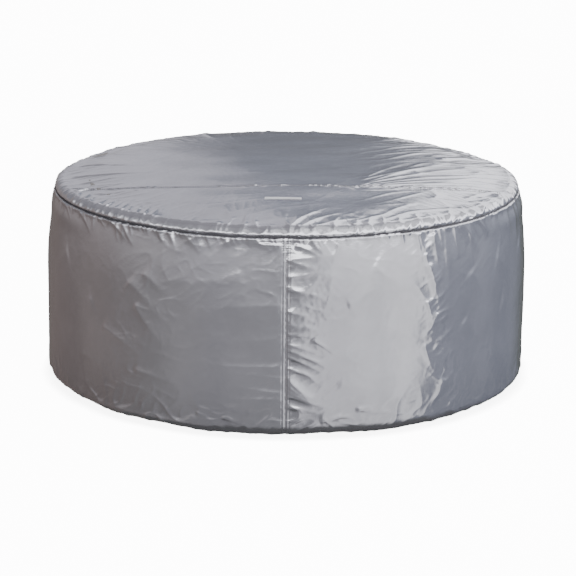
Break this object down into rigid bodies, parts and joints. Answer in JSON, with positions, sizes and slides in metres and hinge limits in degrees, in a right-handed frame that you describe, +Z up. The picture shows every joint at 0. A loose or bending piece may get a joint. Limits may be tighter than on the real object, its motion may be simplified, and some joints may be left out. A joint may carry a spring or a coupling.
{
  "type": "inflatable hot tub",
  "caption": "Round inflatable hot tub with an insulated lid, under a fitted silver-grey fabric cover with a gathered hem.",
  "frame": {"origin": "on the ground at the middle of the tub", "axes": "+Z up; the cover's front seam faces -Y and the tub's ports face +Y"},
  "size_m": [1.8398, 1.84, 0.806],
  "materials": {
    "ground_mat": "matt felted mat",
    "tub_pvc": "matt laminated sheet with a fine grain",
    "tub_liner": "satin smooth sheet",
    "fittings": "moulded, matt",
    "caps": "moulded, matt",
    "seals": "smooth",
    "filter_paper": "pleated fibre",
    "buckles": "moulded, matt",
    "webbing": "woven webbing",
    "lid_vinyl": "grained, satin",
    "lid_foil": "silvered film",
    "lid_trim": "woven, matt",
    "zip_metal": "polished",
    "cover_fabric": "coated woven polyester, silver with a soft metallic sheen",
    "cover_piping": "coated woven polyester",
    "seam_tape": "coated tape",
    "label": "plain printed strip",
    "elastic": "covered elastic cord"
  },
  "bodies": {
    "tub": {"ground_mat": "ground_mat", "tub_base_sheet": "tub_pvc", "tub_outer_wall": "tub_pvc", "tub_inner_wall": "tub_liner", "tub_top_deck": "tub_pvc", "tub_floor_liner": "tub_liner", "wall_baffles": "tub_liner", "bubble_ring": "tub_liner", "port_wall_tubes": "fittings", "port_gaskets": "seals", "port_inner_flanges": "fittings", "water_inlet_spigot": "fittings", "water_outlet_spigot": "fittings", "air_spigot": "fittings", "filter_holder": "fittings", "filter_cartridge": "filter_paper", "inflation_valve_body": "fittings", "inflation_valve_stem": "fittings", "drain_fitting": "fittings", "drain_gasket": "seals", "buckle_tongues": "buckles", "tub_straps": "webbing", "strap_patches": "tub_pvc", "carry_handles": "webbing", "handle_patches": "tub_pvc"},
    "filter_cap": {"filter_cap": "caps"},
    "outlet_stopper_cap": {"outlet_stopper_cap": "caps", "outlet_stopper_gasket": "seals"},
    "inflation_valve_cap": {"inflation_valve_cap": "caps"},
    "drain_cap": {"drain_cap": "caps"},
    "lid": {"lid_top_skin": "lid_vinyl", "lid_side_band": "lid_vinyl", "lid_bottom_foil": "lid_foil", "lid_skirt": "lid_vinyl", "lid_edge_piping": "lid_trim", "lid_bladder": "tub_liner", "lid_straps": "webbing", "buckle_sockets": "buckles", "lid_zip_tape": "lid_trim", "lid_valve_base": "fittings"},
    "zip_slider": {"zip_slider": "zip_metal"},
    "lid_valve_cap": {"lid_valve_cap": "caps"},
    "cover": {"cover_side_right": "cover_fabric", "cover_side_left": "cover_fabric", "cover_side_seam_tapes": "seam_tape", "cover_top_front": "cover_fabric", "cover_top_rear": "cover_fabric", "cover_cross_seam_tape": "seam_tape", "cover_label": "label", "cover_edge_piping": "cover_piping", "cover_hem": "cover_fabric", "cover_hem_casing": "cover_fabric", "cover_hem_elastic": "elastic"}
  },
  "joints": [
    {"name": "lid_lift", "type": "slide", "parent": "tub", "child": "lid", "axis": [0, 0, 1], "range_m": [0, 0.35]},
    {"name": "cover_lift", "type": "slide", "parent": "lid", "child": "cover", "axis": [0, 0, 1], "range_m": [0, 0.85], "deforming": ["cover_hem", "cover_hem_casing", "cover_hem_elastic"]},
    {"name": "zip_slider_travel", "type": "hinge", "parent": "lid", "child": "zip_slider", "pos_m": [0, 0, 0.71], "axis": [0, 0, 1], "range_deg": [0, 56]},
    {"name": "lid_valve_cap_twist", "type": "hinge", "parent": "lid", "child": "lid_valve_cap", "pos_m": [-0.66493, 0.55794, 0.716], "axis": [-0.766, 0.6428, 0], "range_deg": [0, 90]},
    {"name": "inflation_valve_cap_twist", "type": "hinge", "parent": "tub", "child": "inflation_valve_cap", "pos_m": [0.30782, 0.84572, 0.42], "axis": [0.342, 0.9397, 0], "range_deg": [0, 90]},
    {"name": "drain_cap_twist", "type": "hinge", "parent": "tub", "child": "drain_cap", "pos_m": [-0.27812, 0.85595, 0.14], "axis": [-0.309, 0.9511, 0], "range_deg": [0, 120]},
    {"name": "filter_cap_twist", "type": "hinge", "parent": "tub", "child": "filter_cap", "pos_m": [0.06063, 0.57682, 0.25], "axis": [0.1045, 0.9945, 0], "range_deg": [0, 45]},
    {"name": "outlet_stopper_twist", "type": "hinge", "parent": "tub", "child": "outlet_stopper_cap", "pos_m": [-0.07212, 0.68622, 0.25], "axis": [-0.1045, 0.9945, 0], "range_deg": [0, 90]}
  ]
}
